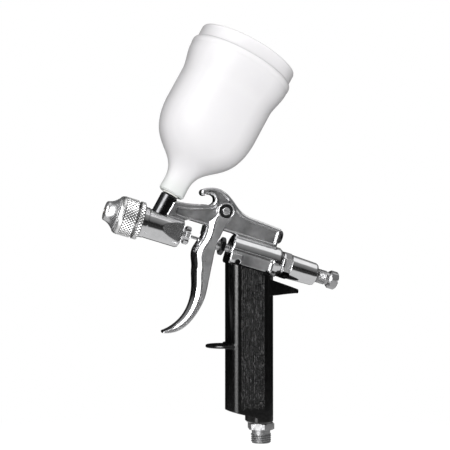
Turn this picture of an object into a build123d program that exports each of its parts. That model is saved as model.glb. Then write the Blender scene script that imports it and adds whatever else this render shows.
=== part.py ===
from build123d import *
from math import atan2, cos, degrees, hypot, radians, sin
import os

# Gravity-feed spray gun. Millimetres.
# Row frame: +Z up along the handle, -X towards the nozzle, origin at the centre of the
# air inlet's end face. The gun's needle axis lies in the XZ plane and falls to the rear.
# Three working frames are used:
#   row    handle, inlet, finger rest
#   barrel x along the needle axis to the rear, z across it; origin below the trigger pivot
#   cup    z along the paint cup's axis, origin where that axis meets the needle axis

# Placement of the barrel and cup frames
BARREL_TILT = 16.7
BARREL_ORIGIN = (-31.06, 0, 128.2)
CUP_CROSSING_X = -41.0
CUP_LEAN = 12.1

# Running clearances
RUN = 0.04
GAP = 0.02

# Needle and fluid path
NEEDLE_R = 0.95
NEEDLE_FRONT = -73.8
NEEDLE_REAR = 57.0
FLUID_BORE_R = 2.2
NOZZLE_ORIFICE_R = 0.5

# Front end
CAP_FRONT = -73.6
CAP_TIP_R = 6.3
RING_R = 12.3
RING_FRONT = -65.6
RING_KNURL_FRONT = -62.4
RING_REAR = -54.1
LOCK_FRONT = -52.9
LOCK_REAR = -49.7
NIPPLE_R = 9.4
NIPPLE_FRONT = -60.0
COLLAR_R = 9.8
COLLAR_REAR = -46.5
FRONT_BARREL_R = 9.5
FRONT_BARREL_REAR = -22.8
FLAT_LENGTH = 14.0
FLAT_DEPTH = 2.8
AIR_CHAMBER_R = 7.2
AIR_CHAMBER_FLOOR = -48.0
KNURL_DEPTH = 0.75

# Packing nut
PACKING_THREAD_R = 3.2
PACKING_R = 2.6

# Arm and hanger hook
ARM_HALF = 4.4
WEB_HALF = 3.1
ARM_UNDER = 10.0
BOSS_HALF = 6.2
PASSAGE_Z = 16.6
PASSAGE_R = 1.7
PLUG_R = 4.35
PLUG_THREAD_R = 2.5
ARM_REAR = 39.2

# Rear barrel, block and valve
REAR_R = 9.85
REAR_FRONT = 10.4
REAR_END = 45.0
BLOCK_HALF = 10.2
BLOCK_TOP = 0.5
BLOCK_BOTTOM = -9.3
BLOCK_END = 38.9
BLOCK_ROUND = 3.4
SIDE_HALF = 9.3
GROOVE_HALF = 8.5
LUG_REAR = 18.2
LUG_TOP = -2.4
FLANGE_FRONT = 37.2
FLANGE_TOP = -1.6
GLAND_R = 4.2
SEAT_X = 22.0
SEAT_THICKNESS = 1.5
VALVE_CHAMBER_R = 6.2
VALVE_CHAMBER_END = 41.0

# Seats of the handle screws' heads, distance from the gun's middle plane
FRONT_HEAD = 9.0
REAR_HEAD = 8.45

# Valve stem
STEM_R = 2.6
STEM_BORE_R = 1.15
STEM_NUT_FRONT = 3.8
STEM_NUT_REAR = 6.6
STEM_REAR = 45.05
NOSE_R = 3.0
NOSE_X = -3.3

# Spring housing and adjuster
HOUSING_FRONT = 45.4
HOUSING_HEX_FRONT = 46.9
HOUSING_HEX_REAR = 51.9
HOUSING_AF = 14.8
HOUSING_END = 70.5
HOUSING_WALL = 4.0
CAVITY_R = 5.4
COLLAR_FRONT = 46.3
COLLAR_LENGTH = 3.0
BUTTON_FRONT = 59.5
BUTTON_REAR = 62.5
SCREW_R = 4.6
KNOB_FRONT = 79.4
KNOB_REAR = 85.5
KNOB_R = 5.95

# Trigger
PIVOT_Z = 21.6
EYE_R = 5.4
SHANK_R = 2.2
CHEEK_HALF_TOP = 8.6
CHEEK_GAP_HALF = 6.3
CHEEK_WALL = CHEEK_HALF_TOP - CHEEK_GAP_HALF
DISH_R = 4.5
DISH_FLOOR = 7.4
HEAD_R = 2.6
WEB_TOP = 9.4

# Paint cup, distances along the cup axis
STUD_R = 5.6
STUD_SEAT = 7.5
STUD_TOP = 21.9
SPIGOT_R = 4.5
SPIGOT_TOP = 33.0
NECK_BOTTOM = 22.7
CUP_WALL = 1.6
CUP_RIM = 126.5
RIM_R = 31.6
LID_BOTTOM = 120.26
LID_TOP = 128.9
LID_R = 33.2

# Handle, row frame
HANDLE_FRONT = -23.4
HANDLE_REAR = 7.6
HANDLE_HALF = 11.0
FRONT_ROUND = 7.0
REAR_ROUND = 8.0
FOOT_BOTTOM = 13.5
FOOT_FRONT = -10.0
FOOT_ROUND = 6.0
AIR_BORE_R = 4.0

# Air inlet, quarter inch parallel pipe thread
THREAD_R = 13.157 / 2
THREAD_LENGTH = 5.7
INLET_HEX_BOTTOM = 8.6
INLET_HEX_TOP = 13.1
INLET_AF = 15.4


BARREL = Location(BARREL_ORIGIN, (0, BARREL_TILT, 0))
CUP = BARREL * Location((CUP_CROSSING_X, 0, 0), (0, CUP_LEAN, 0))


def side_face(*edges):
    """Face in the XZ plane from edges drawn as (x, z)."""
    return Plane.XZ * make_face(Curve() + list(edges))


def plate(outline, half):
    """Extrude an XZ-plane face to the given half width on both sides of Y = 0."""
    return extrude(outline, half, both=True)


def turned(*points):
    """Solid of revolution about X from (x, r) corners."""
    return revolve(Plane.XZ * make_face(Polyline(*points, close=True)), Axis.X)


def rod(x0, x1, r, y=0, z=0):
    """Cylinder along X."""
    body = Cylinder(r, x1 - x0, align=(Align.CENTER, Align.CENTER, Align.MIN))
    return Pos(x0, y, z) * Rot(0, 90, 0) * body


def tube(x0, x1, r_out, r_in):
    """Plain ring or tube along X."""
    return turned((x0, r_in), (x1, r_in), (x1, r_out), (x0, r_out))


def cross_rod(x, z, r, y0, y1):
    """Cylinder along Y."""
    body = Cylinder(r, y1 - y0, align=(Align.CENTER, Align.CENTER, Align.MIN))
    return Pos(x, y0, z) * Rot(-90, 0, 0) * body


def upright(x, r, z0, z1, y=0):
    """Cylinder along Z."""
    body = Cylinder(r, z1 - z0, align=(Align.CENTER, Align.CENTER, Align.MIN))
    return Pos(x, y, z0) * body


def block(x0, x1, y0, y1, z0, z1):
    """Box by its limits."""
    return Pos((x0 + x1) / 2, (y0 + y1) / 2, (z0 + z1) / 2) * Box(x1 - x0, y1 - y0, z1 - z0)


def hexagon(x0, x1, across_flats, turn=0):
    """Hexagonal prism along X, with turned corners."""
    flat = RegularPolygon(across_flats / 2, 6, major_radius=False)
    prism = Pos(x0, 0, 0) * Rot(0, 90, 0) * Rot(0, 0, turn) * extrude(flat, x1 - x0)
    corner = across_flats / 2 / cos(radians(30))
    bevel = (corner - across_flats / 2) * 0.8
    guard = turned(
        (x0, 0),
        (x0, corner - bevel),
        (x0 + bevel * 0.6, corner),
        (x1 - bevel * 0.6, corner),
        (x1, corner - bevel),
        (x1, 0),
    )
    return prism & guard


def knurl_cutters(x0, x1, r, count, slant):
    """V grooves laid around a cylinder at a slant, for a diamond knurl."""
    reach = (x1 - x0) / 2 / cos(radians(slant)) + 2
    groove = extrude(Polygon((-0.7, 0.5), (0.7, 0.5), (0, -KNURL_DEPTH), align=None), reach, both=True)
    laid = Rot(90, 0, 90) * groove
    placed = Pos((x0 + x1) / 2, 0, r) * Rot(0, 0, slant) * laid
    return [Rot(360 * i / count, 0, 0) * placed for i in range(count)]


def spring(x0, x1, mean_r, wire_r, turns):
    """Round-wire coil along X that just fits between x0 and x1."""
    height = x1 - x0 - 2 * wire_r
    path = Helix(height / turns, height, mean_r)
    section = Plane(path @ 0, z_dir=path % 0) * Circle(wire_r)
    coil = sweep(section, path=path)
    return Pos(x0 + wire_r, 0, 0) * Rot(0, 90, 0) * coil


# ---------------------------------------------------------------- casting


def arm_outline():
    """Side outline of the arched arm with its hanger hook."""
    top_front = Spline((-36, 18.2), (-30.9, 18.7), (-25.7, 19.3), (-19.2, 20.7), (-12.7, 22.3))
    throat = Spline((-12.7, 22.3), (-9.4, 23.6), (-8.2, 25.9), (-9.4, 28.6), (-12.2, 29.2), (-15.4, 27.4))
    tip = ThreePointArc((-15.4, 27.4), (-18.2, 28.4), (-17.3, 31.2))
    crest = Spline(
        (-17.3, 31.2), (-13.0, 33.5), (-8.4, 34.3), (-3.8, 33.7), (0.2, 31.8),
        (4.2, 29.1), (8.2, 26.0), (12.6, 23.8), (18.0, 22.8), (26.0, 22.4),
    )
    back = Line((26.0, 22.4), (ARM_REAR, 21.5))
    end = Line((ARM_REAR, 21.5), (ARM_REAR, 5))
    foot = Polyline((ARM_REAR, 5), (14.5, 5), (13.2, 8.2))
    heel = Spline((13.2, 8.2), (11.0, 9.7), (8.0, ARM_UNDER), tangents=((-1, 1), (-1, 0)))
    under = Line((8.0, ARM_UNDER), (-20.0, ARM_UNDER))
    toe = Polyline((-20.0, ARM_UNDER), (-23.6, 8.2), (-25, 5), (-36, 5), (-36, 18.2))
    return side_face(top_front, throat, tip, crest, back, end, foot, heel, under, toe)


def web_recess():
    """Side outline of the sunk web between the arm's rims."""
    upper_front = Spline((-30.2, 15.4), (-25.5, 16.0), (-19.3, 17.5), (-13.1, 19.4), (-8.4, 21.2))
    inside = Spline((-8.4, 21.2), (-6.2, 23.8), (-6.3, 27.4), (-9.2, 30.4), (-13.6, 30.4))
    nook = ThreePointArc((-13.6, 30.4), (-14.1, 30.8), (-13.6, 31.3))
    outer = Spline(
        (-13.6, 31.3), (-8.6, 32.4), (-4.6, 31.8), (-1.0, 30.0), (3.0, 27.3),
        (7.2, 24.0), (11.6, 21.7), (17.6, 20.3), (26.0, 19.8),
    )
    rest = Polyline((26.0, 19.8), (37.4, 19.2), (37.4, 10.9), (-20.6, 10.9), (-26.0, 10.6), (-30.2, 11.0))
    close = Line((-30.2, 11.0), (-30.2, 15.4))
    return side_face(upper_front, inside, nook, outer, rest, close)


def arm():
    """Arched arm: rim all round, sunk web, pivot boss."""
    body = plate(arm_outline(), ARM_HALF)
    body = chamfer([e for e in body.edges() if is_rim_edge(e)], 0.9)
    hollow = plate(web_recess(), ARM_HALF + 2) - plate(web_recess(), WEB_HALF)
    body -= hollow
    return body + cross_rod(0, PIVOT_Z, EYE_R - 0.6, -BOSS_HALF, BOSS_HALF)


def is_rim_edge(edge):
    """Long edges of the arm's hook, crest and throat at the two side faces."""
    middle = edge.position_at(0.5)
    on_side = abs(abs(middle.Y) - ARM_HALF) < 0.01
    along = abs(edge.position_at(0).Y - edge.position_at(1).Y) < 0.01
    return on_side and along and middle.Z > 18.3


def front_barrel():
    """Front barrel, collar and ring nipple, with side flats that deepen to the rear."""
    body = turned(
        (NIPPLE_FRONT, 0),
        (NIPPLE_FRONT, NIPPLE_R - 0.5),
        (NIPPLE_FRONT + 0.5, NIPPLE_R),
        (LOCK_REAR, NIPPLE_R),
        (LOCK_REAR, COLLAR_R),
        (COLLAR_REAR, COLLAR_R),
        (COLLAR_REAR + 0.4, FRONT_BARREL_R),
        (FRONT_BARREL_REAR - 1.6, FRONT_BARREL_R),
        (FRONT_BARREL_REAR - 0.5, FRONT_BARREL_R - 0.45),
        (FRONT_BARREL_REAR, FRONT_BARREL_R - 1.5),
        (FRONT_BARREL_REAR, 0),
    )
    taper = degrees(atan2(FLAT_DEPTH, FLAT_LENGTH))
    slab = block(0, 30, -12, 0, -12, 12)
    flat = Pos(FRONT_BARREL_REAR - FLAT_LENGTH, -FRONT_BARREL_R, 0) * Rot(0, 0, taper) * slab
    return body - flat - mirror(flat, Plane.XZ)


def rear_block():
    """Rear barrel, grooved along its sides, on a milled block with lugs and an end flange."""
    body = turned(
        (REAR_FRONT, 0),
        (REAR_FRONT, REAR_R - 0.8),
        (REAR_FRONT + 0.8, REAR_R),
        (REAR_END - 2.4, REAR_R),
        (REAR_END, REAR_R - 1.5),
        (REAR_END, 0),
    )
    lump = block(REAR_FRONT, BLOCK_END, -BLOCK_HALF, BLOCK_HALF, BLOCK_BOTTOM, BLOCK_TOP)
    lower = lump.edges().filter_by(Axis.X).group_by(Axis.Z)[0]
    lump = fillet(lower, BLOCK_ROUND)
    lump = chamfer(lump.edges().group_by(Axis.X)[0], 0.5)
    tail = block(BLOCK_END - 1, 43.0, -6.2, 6.2, BLOCK_BOTTOM, 0)
    body += lump + tail
    body -= block(REAR_FRONT + 1.4, FLANGE_FRONT, -14, -GROOVE_HALF, -0.5, BLOCK_TOP)
    body -= block(REAR_FRONT + 1.4, FLANGE_FRONT, GROOVE_HALF, 14, -0.5, BLOCK_TOP)
    for low, high in ((-14, -SIDE_HALF), (SIDE_HALF, 14)):
        body -= block(LUG_REAR, FLANGE_FRONT, low, high, -12, BLOCK_TOP)
        body -= block(REAR_FRONT - 1, LUG_REAR + 0.1, low, high, LUG_TOP, BLOCK_TOP)
        body -= block(FLANGE_FRONT - 0.1, BLOCK_END + 0.1, low, high, FLANGE_TOP, BLOCK_TOP)
    return body - block(0, 43.4, -12, 12, -12, BLOCK_BOTTOM)


def casting_bores():
    """Everything drilled in the casting, as one list of cutters."""
    stud = [
        CUP_IN_BARREL * upright(0, STUD_R, STUD_SEAT, 40),
        CUP_IN_BARREL * upright(0, 3.8, 3.2, STUD_SEAT + 1),
        CUP_IN_BARREL * upright(0, FLUID_BORE_R, 0, 8),
    ]
    front = [
        rod(NIPPLE_FRONT - 1, AIR_CHAMBER_FLOOR, AIR_CHAMBER_R),
        rod(AIR_CHAMBER_FLOOR - 1, -44.0, 4.4),
        rod(-45, -30, FLUID_BORE_R),
        rod(-31.5, -27, PACKING_R),
        rod(-28.0, FRONT_BARREL_REAR + 1, PACKING_THREAD_R),
        rod(AIR_CHAMBER_FLOOR - 1, -28.4, 1.1, y=5.2, z=4.6),
        rod(AIR_CHAMBER_FLOOR - 1, -28.4, 1.1, y=-5.2, z=4.6),
        cross_rod(-29.5, 4.6, 1.1, -5.2, 5.2),
        upright(-29.5, 1.4, 4.6, PASSAGE_Z),
    ]
    arm_holes = [
        rod(-30.5, ARM_REAR + 1, PASSAGE_R, z=PASSAGE_Z),
        rod(33.0, ARM_REAR + 1, PLUG_THREAD_R, z=PASSAGE_Z),
        cross_rod(0, PIVOT_Z, 3.0, -10, 10),
        upright(19.5, 1.9, 0, PASSAGE_Z),
    ]
    rear = [
        rod(REAR_FRONT - 1, SEAT_X + 1, GLAND_R),
        rod(SEAT_X, VALVE_CHAMBER_END + 1, VALVE_CHAMBER_R),
        rod(VALVE_CHAMBER_END, REAR_END + 1, 6.6),
        cross_rod(15.9, -7.2, 1.1, -12, 12),
        cross_rod(36.4, -8.0, 0.8, -12, -6.0),
        cross_rod(36.4, -8.0, 0.8, 6.0, 12),
        block(13.4, 18.4, -4.02, 4.02, BLOCK_BOTTOM - 1, -5.4),
        block(34.0, 38.2, -7.62, -5.78, BLOCK_BOTTOM - 1, -6.2),
        block(34.0, 38.2, 5.78, 7.62, BLOCK_BOTTOM - 1, -6.2),
    ]
    heads = []
    for low, high in ((-12, -FRONT_HEAD), (FRONT_HEAD, 12)):
        heads.append(cross_rod(15.9, -7.2, 1.7, low, high))
    for low, high in ((-12, -REAR_HEAD), (REAR_HEAD, 12)):
        heads.append(cross_rod(36.4, -8.0, 1.1, low, high))
    port = BARREL.inverse() * upright(0, AIR_BORE_R - 0.6, 100, 122)
    keep = rod(REAR_FRONT, VALVE_CHAMBER_END, VALVE_CHAMBER_R)
    low = block(20, 45, -10, 10, -20, 0)
    return stud + front + arm_holes + rear + heads + [port & (keep + low)]


def body_casting():
    body = front_barrel() + arm() + rear_block()
    for cutter in casting_bores():
        body -= cutter
    return body


# ---------------------------------------------------------------- front end


def air_cap():
    """Flared nose cone with a rear flange held by the ring."""
    tip = Polyline(
        (CAP_FRONT, 2.6),
        (CAP_FRONT, CAP_TIP_R - 1.1),
        (CAP_FRONT + 0.35, CAP_TIP_R - 0.35),
        (CAP_FRONT + 1.1, CAP_TIP_R),
    )
    flare = Spline(
        (CAP_FRONT + 1.1, CAP_TIP_R), (-71.2, 6.6), (-70.0, 7.1), (-68.7, 7.9), (-67.3, 9.1), (-66.3, 10.1)
    )
    flange = Polyline(
        (-66.3, 10.1), (-61.4, 10.1), (-61.4, 10.9), (-60.1, 10.9), (-60.1, 8.9), (-62.5, 7.6),
        (-66.5, 5.6), (-70.5, 3.6), (-72.4, 2.6), (CAP_FRONT, 2.6),
    )
    return revolve(side_face(tip, flare, flange), Axis.X)


def cap_ring():
    """Knurled retaining ring with a smooth rounded front lip."""
    lip = Spline((RING_FRONT, 11.2), (-64.6, 11.85), (RING_KNURL_FRONT - 0.2, RING_R))
    sleeve = Polyline(
        (RING_KNURL_FRONT - 0.2, RING_R),
        (RING_REAR - 0.35, RING_R),
        (RING_REAR, RING_R - 0.35),
        (RING_REAR, NIPPLE_R + RUN),
        (-60.05, NIPPLE_R + RUN),
        (-60.05, 11.0),
        (-61.45, 11.0),
        (-61.45, 10.2),
        (RING_FRONT, 10.2),
        (RING_FRONT, 11.2),
    )
    body = revolve(side_face(lip, sleeve), Axis.X)
    left = knurl_cutters(RING_KNURL_FRONT, RING_REAR, RING_R, 36, 30)
    right = knurl_cutters(RING_KNURL_FRONT, RING_REAR, RING_R, 36, -30)
    band = tube(RING_KNURL_FRONT, RING_REAR + 1, RING_R + 2, RING_R - 2)
    for cutter in left + right:
        body -= cutter & band
    return body


def lock_ring():
    """Narrow knurled lock ring."""
    body = turned(
        (LOCK_FRONT, NIPPLE_R + RUN),
        (LOCK_FRONT, RING_R - 0.35),
        (LOCK_FRONT + 0.35, RING_R),
        (LOCK_REAR - 0.37, RING_R),
        (LOCK_REAR - GAP, RING_R - 0.35),
        (LOCK_REAR - GAP, NIPPLE_R + RUN),
    )
    for slant in (32, -32):
        for cutter in knurl_cutters(LOCK_FRONT, LOCK_REAR, RING_R, 36, slant):
            body -= cutter
    return body


def fluid_nozzle():
    """Fluid tip with hexagon, thread stub and tapered bore."""
    body = turned(
        (-73.4, 0),
        (-73.4, 1.9),
        (-72.4, 2.1),
        (-66.0, 3.2),
        (-54.0, 4.4),
        (-52.0, 4.6),
        (-52.0, 4.8),
        (-48.4, 4.8),
        (-48.4, 4.4),
        (-44.2, 4.4),
        (-44.2, 0),
    )
    body += hexagon(-52.0, -48.4, 10.4)
    bore = turned(
        (-74, 0),
        (-74, NOZZLE_ORIFICE_R),
        (-72.4, NOZZLE_ORIFICE_R),
        (-72.4, 0.55),
        (-68.0, FLUID_BORE_R),
        (-44, FLUID_BORE_R),
        (-44, 0),
    )
    return body - bore


def nozzle_gasket():
    return tube(-48.4, AIR_CHAMBER_FLOOR, 5.6, 4.4)


def packing_nut():
    """Nut with a slotted flange that presses the packing on the needle."""
    body = turned(
        (-28.0, NEEDLE_R + 0.1),
        (-28.0, PACKING_THREAD_R),
        (FRONT_BARREL_REAR, PACKING_THREAD_R),
        (FRONT_BARREL_REAR, 4.1),
        (-20.5, 4.1),
        (-20.5, 5.5),
        (-20.1, 5.95),
        (-17.6, 5.95),
        (-17.2, 5.5),
        (-17.2, NEEDLE_R + 0.1),
    )
    notch = block(-21, -16, -1.1, 1.1, 4.7, 8)
    for i in range(6):
        body -= Rot(60 * i, 0, 0) * notch
    return body


def needle_packing():
    return tube(-31.4, -28.0, PACKING_R, NEEDLE_R + RUN)


# ---------------------------------------------------------------- valve and needle


def needle():
    body = turned(
        (NEEDLE_FRONT, 0),
        (NEEDLE_FRONT, 0.22),
        (-69.5, NEEDLE_R),
        (NEEDLE_REAR - 0.5, NEEDLE_R),
        (NEEDLE_REAR, 0.5),
        (NEEDLE_REAR, 0),
    )
    return body


def needle_collar():
    """Collar clamped on the needle; the valve stem pushes it."""
    rear = COLLAR_FRONT + COLLAR_LENGTH
    body = turned(
        (COLLAR_FRONT, NEEDLE_R),
        (COLLAR_FRONT, 4.9),
        (COLLAR_FRONT + 0.4, CAVITY_R - 0.1),
        (rear, CAVITY_R - 0.1),
        (rear, 2.9),
        (rear + 1.6, 2.7),
        (rear + 1.6, NEEDLE_R),
    )
    return body


def valve_stem():
    """Hollow stem around the needle, with push face, valve shoulder and rear tube."""
    front = NOSE_X + NOSE_R + 0.03
    return turned(
        (front, STEM_BORE_R),
        (front, 3.0),
        (front + 0.4, 3.4),
        (STEM_NUT_FRONT, 3.4),
        (STEM_NUT_FRONT, STEM_R),
        (25.5, STEM_R),
        (25.5, 4.6),
        (26.7, 4.6),
        (26.7, STEM_R),
        (STEM_REAR, STEM_R),
        (STEM_REAR, STEM_BORE_R),
    )


def stem_nut():
    body = hexagon(STEM_NUT_FRONT, STEM_NUT_REAR, 10.2)
    return body - rod(STEM_NUT_FRONT - 1, STEM_NUT_REAR + 1, STEM_R)


def valve_disc():
    return tube(SEAT_X + SEAT_THICKNESS + GAP, 25.5, 5.2, STEM_R)


def valve_seat():
    return turned(
        (SEAT_X, 3.4),
        (SEAT_X, VALVE_CHAMBER_R),
        (SEAT_X + SEAT_THICKNESS - 0.5, VALVE_CHAMBER_R),
        (SEAT_X + SEAT_THICKNESS - 0.5, 4.4),
        (SEAT_X + SEAT_THICKNESS, 4.0),
        (SEAT_X + SEAT_THICKNESS, 3.4),
    )


def valve_gland():
    """Threaded bush that guides and seals the stem, with a screwdriver slot."""
    body = tube(REAR_FRONT, 16.4, GLAND_R, STEM_R + RUN)
    return body - block(REAR_FRONT - 1, REAR_FRONT + 0.8, -6, 6, -0.6, 0.6)


def valve_spring():
    return spring(26.7 + GAP, VALVE_CHAMBER_END - GAP, 4.1, 0.45, 7)


def spring_housing():
    """Washer face, hexagon, tapered sleeve, spigot and the wall the adjusting screw runs in."""
    body = turned(
        (VALVE_CHAMBER_END, 0),
        (VALVE_CHAMBER_END, 6.6),
        (HOUSING_FRONT, 6.6),
        (HOUSING_FRONT, 8.0),
        (HOUSING_FRONT + 0.4, 8.4),
        (HOUSING_HEX_FRONT, 8.4),
        (HOUSING_HEX_FRONT, 7.2),
        (HOUSING_HEX_REAR, 7.2),
        (HOUSING_HEX_REAR, 8.05),
        (HOUSING_END - 1.6, 7.4),
        (HOUSING_END - 0.4, 6.9),
        (HOUSING_END, 6.2),
        (HOUSING_END, 0),
    )
    body += hexagon(HOUSING_HEX_FRONT - 0.2, HOUSING_HEX_REAR + 0.2, HOUSING_AF)
    body -= rod(VALVE_CHAMBER_END - 1, 44, STEM_R + RUN)
    body -= rod(43.0, HOUSING_END - HOUSING_WALL, CAVITY_R)
    return body - rod(HOUSING_END - HOUSING_WALL - 1, HOUSING_END + 1, SCREW_R + RUN)


def housing_gasket():
    return tube(REAR_END, HOUSING_FRONT, 8.0, 6.6)


def needle_spring():
    start = COLLAR_FRONT + COLLAR_LENGTH
    return spring(start + GAP, BUTTON_FRONT - GAP, 4.0, 0.45, 5)


def spring_button():
    """Flanged washer between the needle spring and the adjusting screw."""
    return turned(
        (BUTTON_FRONT - 1.4, 1.5),
        (BUTTON_FRONT - 1.4, 2.8),
        (BUTTON_FRONT, 3.0),
        (BUTTON_FRONT, CAVITY_R - 0.1),
        (BUTTON_REAR, CAVITY_R - 0.1),
        (BUTTON_REAR, 1.5),
    )


def adjusting_screw():
    body = turned(
        (BUTTON_REAR, 1.5),
        (BUTTON_REAR, SCREW_R - 0.5),
        (BUTTON_REAR + 0.5, SCREW_R),
        (KNOB_FRONT, SCREW_R),
        (KNOB_FRONT, 3.0),
        (KNOB_REAR - 1.5, 3.0),
        (KNOB_REAR - 1.5, 0),
        (76.0, 0),
        (76.0, 1.5),
    )
    return body


def adjuster_knob():
    """Faceted knob with a screwdriver slot in its rear face."""
    across = 2 * KNOB_R * cos(radians(22.5)) + 0.25
    flat = RegularPolygon(across / 2, 8, major_radius=False)
    body = Pos(KNOB_FRONT, 0, 0) * Rot(0, 90, 0) * extrude(flat, KNOB_REAR - KNOB_FRONT)
    guard = turned(
        (KNOB_FRONT, 0),
        (KNOB_FRONT, KNOB_R - 1.1),
        (KNOB_FRONT + 1.3, KNOB_R),
        (KNOB_REAR - 0.8, KNOB_R),
        (KNOB_REAR, KNOB_R - 0.9),
        (KNOB_REAR, 0),
    )
    body = body & guard
    body -= rod(KNOB_FRONT - 1, KNOB_REAR - 1.5, 3.0)
    return body - block(KNOB_REAR - 0.8, KNOB_REAR + 1, -8, 8, -0.6, 0.6)


def passage_plug():
    """Plug in the rear end of the arm's air passage, with a ring line and a slot."""
    body = turned(
        (33.2, 0),
        (33.2, PLUG_THREAD_R),
        (ARM_REAR, PLUG_THREAD_R),
        (ARM_REAR, PLUG_R - 0.2),
        (ARM_REAR + 0.3, PLUG_R - 0.2),
        (ARM_REAR + 0.5, PLUG_R),
        (ARM_REAR + 1.7, PLUG_R),
        (ARM_REAR + 2.5, PLUG_R - 0.8),
        (ARM_REAR + 2.5, 0),
    )
    slot = block(ARM_REAR + 1.7, ARM_REAR + 3, -0.6, 0.6, -6, 6)
    return Pos(0, 0, PASSAGE_Z) * (body - slot)


# ---------------------------------------------------------------- trigger


# Finger face point, rear edge point and half width at stations down the trigger
STATIONS = [
    ((-10.6, 20.0), (5.2, 20.0), 8.6),
    ((-10.6, 14.5), (3.0, 14.5), 8.6),
    ((-10.6, 8.0), (1.2, 8.0), 8.6),
    ((-10.9, 1.0), (0.2, 1.5), 8.6),
    ((-12.3, -3.8), (0.0, -3.4), 8.4),
    ((-13.1, -7.8), (0.3, -8.0), 8.1),
    ((-12.1, -12.6), (0.8, -13.0), 7.8),
    ((-9.6, -20.3), (1.6, -21.0), 7.3),
    ((-7.0, -28.6), (2.4, -29.0), 6.85),
    ((-5.5, -36.4), (2.5, -37.0), 6.4),
    ((-5.8, -44.2), (0.8, -45.3), 6.0),
    ((-7.6, -50.4), (-2.2, -52.8), 5.7),
    ((-10.3, -55.2), (-6.2, -58.4), 5.4),
    ((-13.6, -59.2), (-11.0, -61.9), 5.1),
    ((-17.0, -62.1), (-16.0, -63.7), 4.4),
]


def nose_section(front, rear, half, rounding):
    """Flat-backed section with an elliptical finger side, set across the trigger."""
    length = hypot(front[0] - rear[0], front[1] - rear[1])
    depth = min(rounding, 0.8 * length)
    side = length - depth
    curve = EllipticalCenterArc((side, 0), depth, half, start_angle=-90, arc_size=180)
    back = Polyline((side, half), (0, half), (0, -half), (side, -half))
    toward = Vector((front[0] - rear[0]) / length, 0, (front[1] - rear[1]) / length)
    plane = Plane(origin=(rear[0], 0, rear[1]), x_dir=toward, z_dir=toward.cross(Vector(0, 1, 0)))
    return plane * make_face(Curve() + [curve, back])


def blade():
    """Outer body of the trigger, lofted from the eye level to the tip."""
    return loft([nose_section(f, r, w, 7.6) for f, r, w in STATIONS])


def channel():
    """Hollow of the trigger, open to the rear."""
    sections = []
    for front, rear, half in STATIONS[1:-2]:
        length = hypot(front[0] - rear[0], front[1] - rear[1])
        ux = (rear[0] - front[0]) / length
        uz = (rear[1] - front[1]) / length
        inner = (front[0] + 2.6 * ux, front[1] + 2.6 * uz)
        outer = (rear[0] + 4 * ux, rear[1] + 4 * uz)
        sections.append(nose_section(inner, outer, half - CHEEK_WALL, 4.0))
    return loft(sections)


def trigger():
    """Channel-shaped trigger with two cheeks, dished eyes and push noses."""
    body = blade()
    neck = side_face(
        Spline((-10.8, 10.2), (-7.6, 13.2), (-5.7, 16.0), (-4.6, 19.0)),
        Polyline((-4.6, 19.0), (-4.6, 24), (-14, 24), (-14, 10.2), (-10.8, 10.2)),
    )
    body -= plate(neck, 12)
    body += cross_rod(0, PIVOT_Z, EYE_R, -CHEEK_HALF_TOP, CHEEK_HALF_TOP)
    body -= channel()
    body -= block(-20, 20, -CHEEK_GAP_HALF, CHEEK_GAP_HALF, WEB_TOP, 40)
    body -= block(-16, -6, -1.3, 1.3, -1.7, 3.7)
    for side in (-1, 1):
        rib = block(-9.2, NOSE_X, 1.6, 4.4, -NOSE_R, NOSE_R)
        rib += cross_rod(NOSE_X, 0, NOSE_R, 1.6, 4.4)
        if side < 0:
            rib = mirror(rib, Plane.XZ)
        body += rib
    body -= cross_rod(0, PIVOT_Z, DISH_R, -CHEEK_HALF_TOP - 1, -DISH_FLOOR)
    body -= cross_rod(0, PIVOT_Z, DISH_R, DISH_FLOOR, CHEEK_HALF_TOP + 1)
    body -= cross_rod(0, PIVOT_Z, SHANK_R + RUN, -12, 12)
    return body


def pivot_screw():
    """Pivot screw with a slotted head, and its nut on the far side."""
    seat = DISH_FLOOR + RUN
    shank = cross_rod(0, PIVOT_Z, SHANK_R, -8.2, 8.2)
    head = cross_rod(0, PIVOT_Z, HEAD_R, -8.9, -seat)
    head = chamfer(head.edges().group_by(Axis.Y)[0], 0.5)
    nut = cross_rod(0, PIVOT_Z, HEAD_R, seat, 8.9)
    nut = chamfer(nut.edges().group_by(Axis.Y)[-1], 0.5)
    slot = block(-4, 4, -10, -8.5, PIVOT_Z - 0.3, PIVOT_Z + 0.3)
    return shank + head + nut - slot


def pivot_bush():
    bush = cross_rod(0, PIVOT_Z, 3.0, -BOSS_HALF, BOSS_HALF)
    return bush - cross_rod(0, PIVOT_Z, SHANK_R, -8, 8)


# ---------------------------------------------------------------- cup


CUP_IN_BARREL = Location((CUP_CROSSING_X, 0, 0), (0, CUP_LEAN, 0))


def spun(*edges):
    """Solid of revolution about Z from edges drawn as (r, z)."""
    return revolve(side_face(*edges), Axis.Z)


def spun_corners(*points):
    return revolve(Plane.XZ * make_face(Polyline(*points, close=True)), Axis.Z)


def cup_stud():
    """Stud screwed in the barrel; the cup's neck screws on its spigot."""
    return spun_corners(
        (FLUID_BORE_R, 3.4),
        (3.8, 3.4),
        (3.8, STUD_SEAT),
        (STUD_R, STUD_SEAT),
        (STUD_R, STUD_TOP - 1.2),
        (STUD_R - 0.9, STUD_TOP),
        (SPIGOT_R, STUD_TOP),
        (SPIGOT_R, SPIGOT_TOP - 0.5),
        (SPIGOT_R - 0.5, SPIGOT_TOP),
        (FLUID_BORE_R, SPIGOT_TOP),
    )


def cup_gasket():
    """Washer that travels with the cup, between its neck and the stud."""
    return spun_corners(
        (SPIGOT_R + RUN, STUD_TOP + GAP),
        (5.3, STUD_TOP + GAP),
        (5.3, NECK_BOTTOM),
        (SPIGOT_R + RUN, NECK_BOTTOM),
    )


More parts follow.
